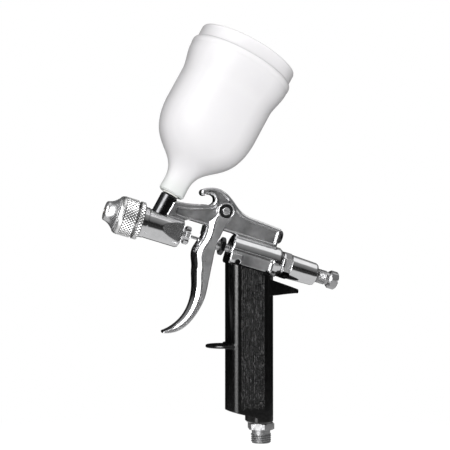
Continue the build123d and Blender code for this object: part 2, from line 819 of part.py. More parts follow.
SHOULDER = [
    (8.5, 26.0), (8.4, 30.0), (8.9, 35.0), (10.4, 38.8), (12.8, 42.2), (19.9, 48.7),
    (26.3, 55.8), (29.5, 62.6), (31.2, 70.0), (31.7, 77.4),
]
WAIST = [(31.7, 96.9), (32.7, 104.0), (34.2, 110.0), (34.7, 115.4)]


def sunk(points, depth):
    """Points moved inwards, at right angles to the run of the profile."""
    moved = []
    for i, (r, z) in enumerate(points):
        r0, z0 = points[max(i - 1, 0)]
        r1, z1 = points[min(i + 1, len(points) - 1)]
        length = hypot(r1 - r0, z1 - z0)
        moved.append((r - depth * (z1 - z0) / length, z + depth * (r1 - r0) / length))
    return moved


def cup_body():
    """Bell-shaped cup: neck, shoulder, straight side, flared rim with a bead."""
    bead = Spline(WAIST[-1], (35.0, 117.2), (34.7, 119.0), (33.6, 120.2))
    rim = Polyline((33.6, 120.2), (RIM_R, 120.2), (RIM_R, CUP_RIM))
    outer = [
        Polyline((0, NECK_BOTTOM), (7.5, NECK_BOTTOM), (8.5, NECK_BOTTOM + 1.0), SHOULDER[0]),
        Spline(*SHOULDER),
        Line(SHOULDER[-1], WAIST[0]),
        Spline(*WAIST),
        bead,
        rim,
        Polyline((RIM_R, CUP_RIM), (0, CUP_RIM), (0, NECK_BOTTOM)),
    ]
    inner_shoulder = sunk(SHOULDER[3:], CUP_WALL)
    inner_waist = sunk(WAIST, CUP_WALL)
    rim_in = RIM_R - CUP_WALL
    inner = [
        Polyline((0, 33.5), (SPIGOT_R + RUN, 33.5), (SPIGOT_R + RUN, 34.0), inner_shoulder[0]),
        Spline(*inner_shoulder),
        Line(inner_shoulder[-1], inner_waist[0]),
        Spline(*inner_waist),
        Polyline(inner_waist[-1], (rim_in, 118.6), (rim_in, CUP_RIM + 1), (0, CUP_RIM + 1), (0, 33.5)),
    ]
    body = spun(*outer) - spun(*inner)
    return body - upright(0, SPIGOT_R + RUN, NECK_BOTTOM - 1, 34.2)


def cup_lid():
    """Lid with an outside skirt, rounded edge, recessed top and a vent."""
    body = spun_corners(
        (RIM_R + RUN, LID_BOTTOM),
        (LID_R, LID_BOTTOM),
        (LID_R, LID_TOP - 1.3),
        (LID_R - 0.4, LID_TOP - 0.4),
        (LID_R - 1.3, LID_TOP),
        (29.5, LID_TOP),
        (28.9, LID_TOP - 1.0),
        (0, LID_TOP - 1.0),
        (0, CUP_RIM + GAP),
        (RIM_R + RUN, CUP_RIM + GAP),
    )
    vent = upright(0, 3.0, LID_TOP - 1.2, LID_TOP + 0.2)
    return body + vent - upright(0, 0.8, 120, 140)


# ---------------------------------------------------------------- handle and inlet


def handle_section(grow=0):
    """Horizontal section: flat sides, elliptical front and rear."""
    front_x = HANDLE_FRONT + FRONT_ROUND
    rear_x = HANDLE_REAR - REAR_ROUND
    middle = Pos((front_x + rear_x) / 2, 0) * Rectangle(rear_x - front_x, 2 * (HANDLE_HALF + grow))
    nose = Pos(front_x, 0) * Ellipse(FRONT_ROUND + grow, HANDLE_HALF + grow)
    tail = Pos(rear_x, 0) * Ellipse(REAR_ROUND + grow, HANDLE_HALF + grow)
    return middle + nose + tail


def barrel_under(lower=0):
    """Everything above the plane of the block's underside."""
    return BARREL * block(-60, 90, -40, 40, BLOCK_BOTTOM - lower, 60)


def hand_rest_fin():
    """Fin at the handle's top rear, rounded in plan."""
    outline = side_face(
        Line((0, 106.7), (23.4, 98.9)),
        ThreePointArc((23.4, 98.9), (24.7, 97.4), (22.6, 96.2)),
        Spline((22.6, 96.2), (16.0, 95.9), (9.4, 95.3)),
        Polyline((9.4, 95.3), (0, 94.6), (0, 106.7)),
    )
    plan = Pos(0, 0, 80) * extrude(Ellipse(25.2, HANDLE_HALF - 1), 40)
    return plate(outline, HANDLE_HALF) & plan


def ribbed_panel():
    """Cutter for one sunk side panel, leaving fine upright ribs."""
    left = HANDLE_FRONT + FRONT_ROUND + 0.4
    right = HANDLE_REAR - REAR_ROUND - 0.4
    recess = block(left, right, -HANDLE_HALF - 1, -HANDLE_HALF + 0.7, 23.5, 120)
    recess -= barrel_under(1.8)
    count = 11
    pitch = (right - left) / (count + 1)
    for i in range(count):
        x = left + pitch * (i + 1)
        recess -= block(x - 0.3, x + 0.3, -HANDLE_HALF + 0.2, -HANDLE_HALF + 1, 20, 120)
    return recess


def handle():
    """Hollow handle with a slanted top, stepped foot and hand-rest fin."""
    body = extrude(handle_section(), 120)
    body = body - barrel_under() - block(-40, 20, -20, 20, -1, FOOT_BOTTOM)
    under = side_face(Polyline((-40, 26.2), (-3, 16.6), (-3, 5), (-40, 5), close=True))
    foot_plan = Pos(FOOT_FRONT + FOOT_ROUND, 0) * Ellipse(FOOT_ROUND, HANDLE_HALF)
    foot_plan += Pos(8, 0) * Rectangle(24, 2 * HANDLE_HALF)
    body -= plate(under, 20) - extrude(foot_plan, 30)
    foot = [e for e in body.edges() if abs(e.center().Z - FOOT_BOTTOM) < 0.01]
    body = chamfer(foot, 0.9)
    body += hand_rest_fin()
    recess = ribbed_panel()
    body -= recess
    body -= mirror(recess, Plane.XZ)
    tabs = block(13.42, 18.38, -4, 4, BLOCK_BOTTOM - 1, -5.42)
    tabs += block(34.02, 38.18, -7.6, -5.8, BLOCK_BOTTOM - 1, -6.22)
    tabs += block(34.02, 38.18, 5.8, 7.6, BLOCK_BOTTOM - 1, -6.22)
    tabs -= cross_rod(15.9, -7.2, 1.1, -12, 12)
    tabs -= cross_rod(36.4, -8.0, 0.8, -12, 12)
    body += BARREL * tabs
    body -= upright(0, AIR_BORE_R - 0.6, 10, 125)
    body -= upright(0, 6.6, FOOT_BOTTOM - 1, 24)
    seal = BARREL * upright(PORT_X, 5.6, BLOCK_BOTTOM - 1.0, BLOCK_BOTTOM + 1)
    return body - seal


PORT_X = (-BARREL_ORIGIN[0] - BLOCK_BOTTOM * sin(radians(BARREL_TILT))) / cos(radians(BARREL_TILT))


def port_seal():
    """Seal ring around the air port between handle and block."""
    ring = upright(PORT_X, 5.6, BLOCK_BOTTOM - 1.0, BLOCK_BOTTOM)
    return ring - upright(PORT_X, 4.3, BLOCK_BOTTOM - 2, BLOCK_BOTTOM + 1)


def handle_screws():
    """One through screw at the front and two short ones at the rear."""
    front_face = FRONT_HEAD + 0.8
    rear_face = REAR_HEAD + 0.7
    front = cross_rod(15.9, -7.2, 1.1, -front_face + 0.3, front_face - 0.3)
    front += cross_rod(15.9, -7.2, 1.65, -front_face, -FRONT_HEAD)
    front -= block(14, 18, -front_face - 1, -front_face + 0.4, -7.4, -7.0)
    rear = cross_rod(36.4, -8.0, 0.8, -rear_face + 0.3, -6.1)
    rear += cross_rod(36.4, -8.0, 1.05, -rear_face, -REAR_HEAD)
    return front + rear + mirror(rear, Plane.XZ)


def finger_rest():
    """Dished finger plate with a clamp band round the handle's front."""
    band = extrude(handle_section(1.5) - handle_section(), 3.8)
    band = Pos(0, 0, 61.0) * band
    band &= block(-40, -17.8, -20, 20, 50, 70)
    oval = Pos(-24.5, 0, 61.8) * extrude(Ellipse(11.9, 12.2), 2.0)
    rim = [e for e in oval.edges() if e.geom_type != GeomType.LINE]
    oval = fillet(rim, 0.8)
    oval &= block(-40, -20, -20, 20, 50, 70)
    oval -= Pos(0, 0, 50) * extrude(handle_section(), 30)
    return band + oval


def air_inlet():
    """Hexagon, neck and male thread, drilled through; a stub screws in the handle."""
    prism = Pos(0, 0, INLET_HEX_BOTTOM) * extrude(
        Rot(0, 0, 30) * RegularPolygon(INLET_AF / 2, 6, major_radius=False),
        INLET_HEX_TOP - INLET_HEX_BOTTOM,
    )
    corner = INLET_AF / 2 / cos(radians(30))
    guard = spun_corners(
        (0, INLET_HEX_BOTTOM),
        (corner - 1.0, INLET_HEX_BOTTOM),
        (corner, INLET_HEX_BOTTOM + 0.6),
        (corner, INLET_HEX_TOP - 0.6),
        (corner - 1.0, INLET_HEX_TOP),
        (0, INLET_HEX_TOP),
    )
    body = prism & guard
    body += upright(0, 11.9 / 2, THREAD_LENGTH, INLET_HEX_BOTTOM)
    body += upright(0, THREAD_R, 0, THREAD_LENGTH)
    body += upright(0, 6.6, INLET_HEX_TOP, 23.5)
    return body - upright(0, AIR_BORE_R, -1, 25)


def inlet_gasket():
    ring = upright(0, 7.4, INLET_HEX_TOP, FOOT_BOTTOM)
    return ring - upright(0, 6.6, 10, 15)


# ---------------------------------------------------------------- parts list


IN_BARREL = {
    "body_casting": body_casting,
    "air_cap": air_cap,
    "cap_ring": cap_ring,
    "lock_ring": lock_ring,
    "fluid_nozzle": fluid_nozzle,
    "nozzle_gasket": nozzle_gasket,
    "packing_nut": packing_nut,
    "needle_packing": needle_packing,
    "needle": needle,
    "needle_collar": needle_collar,
    "needle_spring": needle_spring,
    "valve_stem": valve_stem,
    "stem_nut": stem_nut,
    "valve_disc": valve_disc,
    "valve_seat": valve_seat,
    "valve_gland": valve_gland,
    "valve_spring": valve_spring,
    "spring_housing": spring_housing,
    "housing_gasket": housing_gasket,
    "spring_button": spring_button,
    "adjusting_screw": adjusting_screw,
    "adjuster_knob": adjuster_knob,
    "passage_plug": passage_plug,
    "trigger": trigger,
    "pivot_screw": pivot_screw,
    "pivot_bush": pivot_bush,
    "handle_screws": handle_screws,
    "port_seal": port_seal,
}
IN_CUP = {
    "cup_stud": cup_stud,
    "cup_gasket": cup_gasket,
    "cup_body": cup_body,
    "cup_lid": cup_lid,
}
IN_ROW = {
    "handle": handle,
    "finger_rest": finger_rest,
    "air_inlet": air_inlet,
    "inlet_gasket": inlet_gasket,
}

os.makedirs("parts", exist_ok=True)
for frame, makers in ((BARREL, IN_BARREL), (CUP, IN_CUP), (Location(), IN_ROW)):
    for name, make in makers.items():
        solid = frame * make()
        count = len(solid.solids())
        print(name, count, round(solid.volume))
        export_step(Compound(solid.solids()), f"parts/{name}.step")
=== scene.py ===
import math

import bmesh
import bpy
from mathutils import Matrix, Vector


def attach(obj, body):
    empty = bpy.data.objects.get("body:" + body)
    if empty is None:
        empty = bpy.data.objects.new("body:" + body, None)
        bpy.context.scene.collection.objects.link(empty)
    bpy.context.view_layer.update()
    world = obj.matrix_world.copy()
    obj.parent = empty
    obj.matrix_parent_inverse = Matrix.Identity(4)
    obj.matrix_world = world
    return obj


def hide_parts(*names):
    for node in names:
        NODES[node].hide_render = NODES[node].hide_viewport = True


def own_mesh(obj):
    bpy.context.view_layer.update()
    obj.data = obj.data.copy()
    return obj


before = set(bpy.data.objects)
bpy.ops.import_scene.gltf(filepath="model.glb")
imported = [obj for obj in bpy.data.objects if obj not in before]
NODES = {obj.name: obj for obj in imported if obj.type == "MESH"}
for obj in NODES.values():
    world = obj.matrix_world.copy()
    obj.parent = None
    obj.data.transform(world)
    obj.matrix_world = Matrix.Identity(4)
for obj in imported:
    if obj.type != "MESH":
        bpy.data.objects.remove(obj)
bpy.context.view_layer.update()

# Gravity-feed spray gun, in metres in the row frame: +Z up along the handle,
# -X towards the nozzle. Sizes are in millimetres, and MM turns them into metres.
MM = 0.001


def tilted(x, z, degrees):
    """A frame moved in the gun's middle plane and turned nose up in it."""
    return Matrix.Translation((x * MM, 0, z * MM)) @ Matrix.Rotation(math.radians(degrees), 4, "Y")


# Frame of the needle axis: x to the rear along the needle, z across it
BARREL = tilted(-31.06, 128.2, 16.7)
# Frame of the paint cup: z up along the cup's axis
CUP = BARREL @ tilted(-41.0, 0, 12.1)
# Centre of the trigger's pivot, the radius of its screw and of the boss round it
PIVOT = BARREL @ Vector((0, 0, 21.6 * MM))
PIVOT_SCREW_R = 2.7
PIVOT_BOSS_R = 4.3

# Where a finish changes: barrels, block and housing's hexagon along the needle axis,
# the handle's side panel, and the cup's neck, where its painted shade fades, along its own axis
BARREL_R = 9.68
BLOCK_FRONT = 5.0
BLOCK_TOP = -0.9
HOUSING_HEX = (46.9, 51.9)
HANDLE_MIDDLE = -8.4
PANEL_HALF = 7.2
PANEL_FOOT = 25.0
NECK_LOW = 21.0
NECK_HIGH = 40.0

# Knurled rings: radii, and places along the needle axis
KNURL_COUNT = 36
KNURL_DEPTH = 0.55
KNURL_STEP = 0.18
KNURL_FLAT = 0.35
RING_R = 12.3
RING_EDGE_R = RING_R - KNURL_DEPTH
RING_BORE_R = 9.44
CAP_BORE_R = 10.2
CAP_SEAT_R = 11.0
CAP_SEAT_FRONT = -61.45
CAP_SEAT_REAR = -60.05
CAP_RING_FRONT = -65.6
CAP_RING_REAR = -54.1
LOCK_RING_FRONT = -52.9
LOCK_RING_REAR = -49.72

# Share of a thread's pitch that is flat at its crests, and again at its roots
THREAD_FLAT = 0.16

# Air inlet: pipe thread, neck, hexagon and stub, upwards from its foot
INLET_R = 13.157 / 2
INLET_BORE_R = 4.0
INLET_PITCH = 1.337
INLET_THREAD_DEPTH = 0.82
INLET_THREAD_TOP = 5.7
INLET_NECK_R = 5.95
INLET_HEX_LOW = 8.6
INLET_HEX_HIGH = 13.1
INLET_HEX_AF = 15.4
INLET_STUB_R = 6.6
INLET_TOP = 23.5

# Adjusting screw: thread, neck and stem along the needle axis
SCREW_R = 4.6
SCREW_PITCH = 1.0
SCREW_THREAD_DEPTH = 0.34
SCREW_FRONT = 62.56
SCREW_THREAD_START = 63.2
SCREW_THREAD_END = 77.2
SCREW_NECK_R = 4.25
SCREW_NECK_END = 79.4
SCREW_STEM_R = 3.0
SCREW_REAR = 84.0
SCREW_BORE_R = 1.5
SCREW_BORE_END = 76.0
AXIS_R = 0.05

# Coil springs: end places at rest, and how far each shortens at its joint's limit
SPRING_WIRE_R = 0.45
VALVE_SPRING_FRONT = 26.72
VALVE_SPRING_REAR = 40.98
VALVE_SPRING_R = 4.1
VALVE_SQUEEZE = 3.75
NEEDLE_SPRING_FRONT = 49.32
NEEDLE_SPRING_REAR = 59.48
NEEDLE_SPRING_R = 4.0
NEEDLE_SQUEEZE = 2.55


# ---------------------------------------------------------------- node graphs


class Graph:
    """A node tree with short calls for the nodes the materials use."""

    def __init__(self, tree):
        self.tree = tree
        tree.nodes.clear()

    def node(self, kind, inputs=None, **settings):
        made = self.tree.nodes.new(kind)
        for name, value in settings.items():
            setattr(made, name, value)
        for key, value in (inputs or {}).items():
            if isinstance(value, bpy.types.NodeSocket):
                self.tree.links.new(value, made.inputs[key])
            else:
                made.inputs[key].default_value = value
        return made

    def math(self, operation, a, b=0.0, clamp=False):
        made = self.node("ShaderNodeMath", {0: a, 1: b}, operation=operation, use_clamp=clamp)
        return made.outputs[0]

    def vector(self, operation, a, b=(0, 0, 0)):
        made = self.node("ShaderNodeVectorMath", {0: a, 1: b}, operation=operation)
        scalar = operation in ("DOT_PRODUCT", "LENGTH")
        return made.outputs["Value" if scalar else "Vector"]

    def noise(self, coords, scale, detail=3.0, roughness=0.5):
        values = {"Vector": coords, "Scale": scale, "Detail": detail, "Roughness": roughness}
        return self.node("ShaderNodeTexNoise", values).outputs["Fac"]

    def stretched(self, coords, scale):
        """Coordinates scaled by a different amount along each axis."""
        return self.vector("MULTIPLY", coords, scale)

    def split(self, coords, axis):
        return self.node("ShaderNodeSeparateXYZ", {0: coords}).outputs[axis]

    def fit(self, value, low, high, to_low=0.0, to_high=1.0, smooth=False):
        """The value's place between low and high, taken to the other pair and kept in it."""
        kind = "SMOOTHSTEP" if smooth else "LINEAR"
        values = {"Value": value, "From Min": low, "From Max": high}
        values.update({"To Min": to_low, "To Max": to_high})
        return self.node("ShaderNodeMapRange", values, interpolation_type=kind).outputs["Result"]

    def ramp(self, value, stops):
        """Grey level between the stops, each a place and a level."""
        made = self.node("ShaderNodeValToRGB", {"Fac": value})
        band = made.color_ramp
        band.interpolation = "LINEAR"
        while len(band.elements) < len(stops):
            band.elements.new(0.5)
        for element, (place, level) in zip(band.elements, stops):
            element.position = place
            element.color = (level, level, level, 1.0)
        return made.outputs["Color"]

    def mix(self, factor, a, b, blend="MIX"):
        made = self.node("ShaderNodeMix", data_type="RGBA", blend_type=blend)
        for index, value in ((0, factor), (6, a), (7, b)):
            socket = made.inputs[index]
            if isinstance(value, bpy.types.NodeSocket):
                self.tree.links.new(value, socket)
            elif index == 0:
                socket.default_value = value
            else:
                shade = value if isinstance(value, tuple) else (value, value, value)
                socket.default_value = (*shade, 1.0)
        return made.outputs[2]

    def bump(self, height, distance, strength=1.0, normal=None):
        values = {"Height": height, "Distance": distance, "Strength": strength}
        if normal is not None:
            values["Normal"] = normal
        return self.node("ShaderNodeBump", values).outputs["Normal"]


def material(name):
    made = bpy.data.materials.new(name)
    made.use_nodes = True
    return made, Graph(made.node_tree)


def finish_surface(graph, shader):
    graph.node("ShaderNodeOutputMaterial", {"Surface": shader})


def principled(graph, colour, roughness, relief, metallic=0.0, **more):
    """Principled surface as the material's output. More inputs are named with underscores."""
    inputs = {"Base Color": colour, "Roughness": roughness, "Normal": relief, "Metallic": metallic}
    shader = graph.node("ShaderNodeBsdfPrincipled", inputs)
    for name, value in more.items():
        shader.inputs[name.replace("_", " ")].default_value = value
    finish_surface(graph, shader.outputs["BSDF"])


def object_coords(graph):
    return graph.node("ShaderNodeTexCoord").outputs["Object"]


def frame_coords(graph, matrix):
    """Object coordinates taken into another frame."""
    inverse = matrix.inverted()
    turn = inverse.to_euler()
    values = {"Vector": object_coords(graph), "Rotation": turn}
    values["Location"] = inverse.to_translation()
    return graph.node("ShaderNodeMapping", values, vector_type="POINT").outputs["Vector"]


# ---------------------------------------------------------------- materials


def cosine(degrees):
    return math.cos(math.radians(degrees))


def crevices(g, reach, low, high, amount, samples=4):
    """Share of painted shade and grime: most in corners closer than the reach, none in the open.
    """
    occlusion = g.node("ShaderNodeAmbientOcclusion", {"Distance": reach * MM}, samples=samples)
    shut_in = g.fit(occlusion.outputs["AO"], low, high, 1.0, 0.0, smooth=True)
    return g.math("MULTIPLY", shut_in, amount)


def from_needle_axis(g):
    """Distance from the needle axis."""
    return g.vector("LENGTH", g.vector("MULTIPLY", frame_coords(g, BARREL), (0, 1, 1)))


def between(g, value, low, low_edge, high, high_edge):
    """One between the two bounds in mm, fading to zero over their edges."""
    rise = g.fit(value, (low - low_edge) * MM, low * MM)
    fall = g.fit(value, high * MM, (high + high_edge) * MM, 1.0, 0.0)
    return g.math("MULTIPLY", rise, fall)


def off_the_barrels(g):
    """Zero on the two round barrels of the casting, one elsewhere."""
    off_radius = g.math("ABSOLUTE", g.math("SUBTRACT", from_needle_axis(g), BARREL_R * MM))
    on_round = g.fit(off_radius, 0.22 * MM, 0.30 * MM, 1.0, 0.0)
    in_axis = frame_coords(g, BARREL)
    rear = g.fit(g.split(in_axis, "X"), (BLOCK_FRONT - 1) * MM, BLOCK_FRONT * MM)
    low = g.fit(g.split(in_axis, "Z"), BLOCK_TOP * MM, (BLOCK_TOP + 0.3) * MM, 1.0, 0.0)
    on_block = g.math("MULTIPLY", rear, low)
    on_round = g.math("MULTIPLY", on_round, g.math("SUBTRACT", 1.0, on_block))
    return g.math("SUBTRACT", 1.0, on_round)


def side_faces(g, normal, barrels, zone):
    """One on faces that look straight to the gun's side, where the plating is satin."""
    sideways = g.math("ABSOLUTE", g.split(normal, "Y"))
    flat = g.fit(sideways, 0.955, 0.997, smooth=True)
    if barrels:
        flat = g.math("MULTIPLY", flat, off_the_barrels(g))
    if zone:
        place = g.split(frame_coords(g, BARREL), "X")
        flat = g.math("MULTIPLY", flat, between(g, place, zone[0], 0.1, zone[1], 0.1))
    return flat


def pivot_recess_shade(g, coords, colour):
    """Painted shade: a dark ring in the recess round the trigger's pivot screw."""
    reach = g.vector("MULTIPLY", g.vector("SUBTRACT", coords, PIVOT), (1, 0, 1))
    ring = between(g, g.vector("LENGTH", reach), PIVOT_SCREW_R, 0.5, PIVOT_BOSS_R, 0.4)
    return g.mix(g.math("MULTIPLY", ring, 0.93), colour, (0.02, 0.02, 0.02))


def chrome(
    name,
    tint=0.74,
    rough=0.07,
    satin=0.26,
    wave=1.0,
    shade_and_grime=0.45,
    edge=0.5,
    blotch=0.3,
    matt=0.16,
    matt_round=0.0,
    pivot=False,
    barrels=False,
    zone=None,
):
    """Polished plating: bright rounded faces, satin side faces, painted shade and grime in
    corners.

    tint is the brightness. rough and satin are the roughness of rounded and of side
    faces, and matt_round and matt their share without metallic sheen. wave is the
    waviness, dirt the painted shade and grime in corners, edge the rounding of edges in
    mm, and blotch the tarnish on side faces. pivot adds a ring of painted shade in the
    recess round the pivot screw, barrels keeps round barrels polished, and zone keeps
    the satin between two places along the needle axis."""
    made, g = material(name)
    coords = object_coords(g)
    bevel = g.node("ShaderNodeBevel", {"Radius": edge * MM}, samples=6).outputs["Normal"]
    flat = side_faces(g, bevel, barrels, zone)
    cloud = g.noise(coords, 160.0, 4.0, 0.6)
    patch = g.noise(coords, 70.0, 3.0, 0.55)
    grain = g.noise(g.stretched(coords, (1.0, 1.0, 0.25)), 2600.0, 2.0, 0.6)
    scratches = g.noise(g.stretched(coords, (0.12, 1.0, 1.0)), 5200.0, 1.0, 0.5)
    roughness = g.fit(flat, 0.0, 1.0, rough, satin)
    roughness = g.math("ADD", roughness, g.fit(cloud, 0.35, 0.7, -0.015, 0.05))
    roughness = g.math("ADD", roughness, g.fit(grain, 0.3, 0.7, -0.02, 0.03), clamp=True)
    bright = (tint, tint, tint * 1.015)
    worn = (tint * 0.86, tint * 0.86, tint * 0.87)
    tarnished = (tint * 0.3, tint * 0.3, tint * 0.31)
    plate = g.mix(g.fit(cloud, 0.3, 0.75), bright, worn)
    dull = g.math("MULTIPLY", g.math("MULTIPLY", g.fit(patch, 0.38, 0.68), flat), blotch)
    plate = g.mix(dull, plate, tarnished)
    # Painted shade and grime: the plating darkens in corners and gaps by ambient occlusion
    colour = g.mix(crevices(g, 2.4, 0.25, 0.85, shade_and_grime), plate, (0.05, 0.048, 0.046))
    if pivot:
        # Painted shade in the recess round the pivot screw
        colour = pivot_recess_shade(g, coords, colour)
    ripple = g.noise(coords, 95.0, 2.0, 0.4)
    relief = g.bump(ripple, 0.16 * MM * wave, 1.0, bevel)
    relief = g.bump(scratches, 0.004 * MM, 0.5, relief)
    metallic = g.fit(flat, 0.0, 1.0, 1.0 - matt_round, 1.0 - matt)
    principled(g, colour, roughness, relief, metallic)
    return made


def turned_metal(name, colour, rough):
    """Lathe-turned metal: fine rings square to the needle axis, uneven tone, painted shade and
    grime in corners.
    """
    made, g = material(name)
    coords = frame_coords(g, BARREL)
    lines = g.noise(g.stretched(coords, (1.0, 0.02, 0.02)), 9000.0, 1.0, 0.5)
    cloud = g.noise(coords, 420.0, 4.0, 0.6)
    darker = tuple(channel * 0.62 for channel in colour)
    tone = g.mix(g.fit(cloud, 0.3, 0.72), colour, darker)
    # Painted shade and grime: darker in corners and gaps by ambient occlusion
    tone = g.mix(crevices(g, 1.2, 0.25, 0.85, 0.5), tone, (0.03, 0.027, 0.024))
    roughness = g.fit(cloud, 0.3, 0.7, rough, rough + 0.12)
    bevel = g.node("ShaderNodeBevel", {"Radius": 0.2 * MM}, samples=4).outputs["Normal"]
    relief = g.bump(lines, 0.01 * MM, 0.5, bevel)
    principled(g, tone, roughness, relief, 1.0)
    return made


def knurled_nickel():
    """Nickel with a fine grain, with painted shade and grime in corners and painted shade low in
    the grooves of the knurl.
    """
    made, g = material("knurled_nickel")
    coords = object_coords(g)
    cloud = g.noise(coords, 300.0, 4.0, 0.6)
    fine = g.noise(coords, 4200.0, 2.0, 0.6)
    tone = g.mix(g.fit(cloud, 0.3, 0.7), (0.90, 0.90, 0.90), (0.74, 0.74, 0.74))
    # Painted shade and grime in corners, by ambient occlusion
    tone = g.mix(crevices(g, 0.9, 0.35, 0.95, 0.62, samples=6), tone, (0.09, 0.088, 0.085))
    roughness = g.fit(cloud, 0.3, 0.7, 0.22, 0.34)
    roughness = g.math("ADD", roughness, g.fit(fine, 0.3, 0.7, -0.04, 0.05))
    relief = g.bump(fine, 0.008 * MM, 0.6)
    # Painted shade: the knurl darkens low in its grooves
    groove = between(g, from_needle_axis(g), RING_EDGE_R - 0.05, 0.05, RING_EDGE_R, 0.45)
    tone = g.mix(g.math("MULTIPLY", groove, 0.88), tone, (0.05, 0.05, 0.05))
    principled(g, tone, roughness, relief, 0.88)
    return made


def black_enamel():
    """Gloss black paint over a sand casting, coarser and rubbed on the ribbed side panels."""
    made, g = material("black_enamel")
    coords = object_coords(g)
    peel = g.noise(coords, 620.0, 3.0, 0.55)
    cast = g.noise(coords, 1500.0, 4.0, 0.65)
    chips = g.noise(g.stretched(coords, (1.0, 1.0, 0.3)), 820.0, 4.0, 0.7)
    own_normal = g.node("ShaderNodeTexCoord").outputs["Normal"]
    sideways = g.math("ABSOLUTE", g.split(own_normal, "Y"))
    flat = g.fit(sideways, 0.95, 0.995, smooth=True)
    off_middle = g.math("SUBTRACT", g.split(coords, "X"), HANDLE_MIDDLE * MM)
    off_middle = g.math("ABSOLUTE", off_middle)
    inside = g.fit(off_middle, PANEL_HALF * MM, (PANEL_HALF + 0.8) * MM, 1.0, 0.0)
    above = g.fit(g.split(coords, "Z"), (PANEL_FOOT - 3) * MM, PANEL_FOOT * MM)
    panel = g.math("MULTIPLY", g.math("MULTIPLY", inside, flat), above)
    rubbed = g.math("MULTIPLY", g.fit(chips, 0.52, 0.64, smooth=True), panel)
    tone = g.mix(g.fit(peel, 0.45, 0.72), (0.0006, 0.0006, 0.0007), (0.002, 0.002, 0.0021))
    tone = g.mix(g.math("MULTIPLY", rubbed, 0.9), tone, (0.075, 0.075, 0.075))
    roughness = g.fit(flat, 0.0, 1.0, 0.21, 0.2)
    roughness = g.math("ADD", roughness, g.fit(peel, 0.3, 0.7, -0.04, 0.06))
    bevel = g.node("ShaderNodeBevel", {"Radius": 0.5 * MM}, samples=4).outputs["Normal"]
    relief = g.bump(peel, 0.05 * MM, 0.55, bevel)
    relief = g.bump(cast, 0.02 * MM, 0.6, relief)
    relief = g.bump(chips, 0.55 * MM, panel, relief)
    principled(g, tone, roughness, relief, Coat_Weight=0.2, Coat_Roughness=0.15)
    return made


def milky_plastic(name, neck_shade=True):
    """Natural polyethylene: soft white, with painted shade greying it towards the outline and
    painted green shade at the neck.
    """
    made, g = material(name)
    coords = object_coords(g)
    in_cup = frame_coords(g, CUP)
    cloud = g.noise(coords, 45.0, 3.0, 0.55)
    haze = g.noise(g.stretched(in_cup, (1.0, 1.0, 0.15)), 260.0, 3.0, 0.6)
    # Painted shade: the plastic greys towards the outline, where it turns away from the light
    facing = g.node("ShaderNodeLayerWeight", {"Blend": 0.5}).outputs["Facing"]
    middle = [(0.0, 0.92), (0.25, 0.89), (0.42, 0.77)]
    outline = [(0.60, 0.60), (0.80, 0.44), (1.0, 0.32)]
    body = g.ramp(facing, middle + outline)
    body = g.mix(1.0, body, (1.0, 0.985, 1.0), blend="MULTIPLY")
    body = g.mix(g.fit(cloud, 0.35, 0.75, 0.0, 0.10), body, (0.80, 0.80, 0.82))
    # Painted shade: darker and greener low at the neck, where it is shaded and the dark stud shows
    # through
    if neck_shade:
        height = g.split(in_cup, "Z")
        low = g.fit(height, NECK_LOW * MM, NECK_HIGH * MM, 1.0, 0.0, smooth=True)
        body = g.mix(g.math("MULTIPLY", low, 0.38), body, (0.62, 0.70, 0.63))
    roughness = g.fit(haze, 0.3, 0.7, 0.36, 0.5)
    relief = g.bump(haze, 0.02 * MM, 0.5)
    relief = g.bump(cloud, 0.25 * MM, 0.35, relief)
    plastic = g.node(
        "ShaderNodeBsdfPrincipled",
        {
            "Base Color": body,
            "Roughness": roughness,
            "Specular IOR Level": 0.32,
            "Subsurface Weight": 0.35,
            "Subsurface Radius": (1.0, 1.0, 0.95),
            "Subsurface Scale": 4 * MM,
            "Normal": relief,
        },
    )
    through = g.node("ShaderNodeBsdfTranslucent", {"Color": body, "Normal": relief})
    parts = {0: 0.12, 1: plastic.outputs["BSDF"], 2: through.outputs["BSDF"]}
    shader = g.node("ShaderNodeMixShader", parts)
    finish_surface(g, shader.outputs["Shader"])
    return made


def seal(name, colour, rough):
    """Rubber or nylon with a cloudy tone and a fine grain."""
    made, g = material(name)
    coords = object_coords(g)
    cloud = g.noise(coords, 700.0, 4.0, 0.6)
    fine = g.noise(coords, 4200.0, 2.0, 0.5)
    paler = tuple(min(1.0, channel * 1.25 + 0.015) for channel in colour)
    tone = g.mix(g.fit(cloud, 0.35, 0.7), colour, paler)
    relief = g.bump(fine, 0.02 * MM, 0.5)
    principled(g, tone, g.fit(cloud, 0.3, 0.7, rough, rough + 0.15), relief)
    return made


TRIGGER_CHROME = chrome("trigger_chrome", satin=0.30, edge=1.0, blotch=0.6, matt=0.20, pivot=True)
CASTING = chrome(
    "cast_chrome", satin=0.32, wave=1.2, shade_and_grime=0.75, edge=1.2, blotch=0.8, matt=0.14, barrels=True
)
CHROME = chrome(
    "polished_chrome", rough=0.10, satin=0.3, matt=0.26, edge=0.3, blotch=0.2, zone=HOUSING_HEX
)
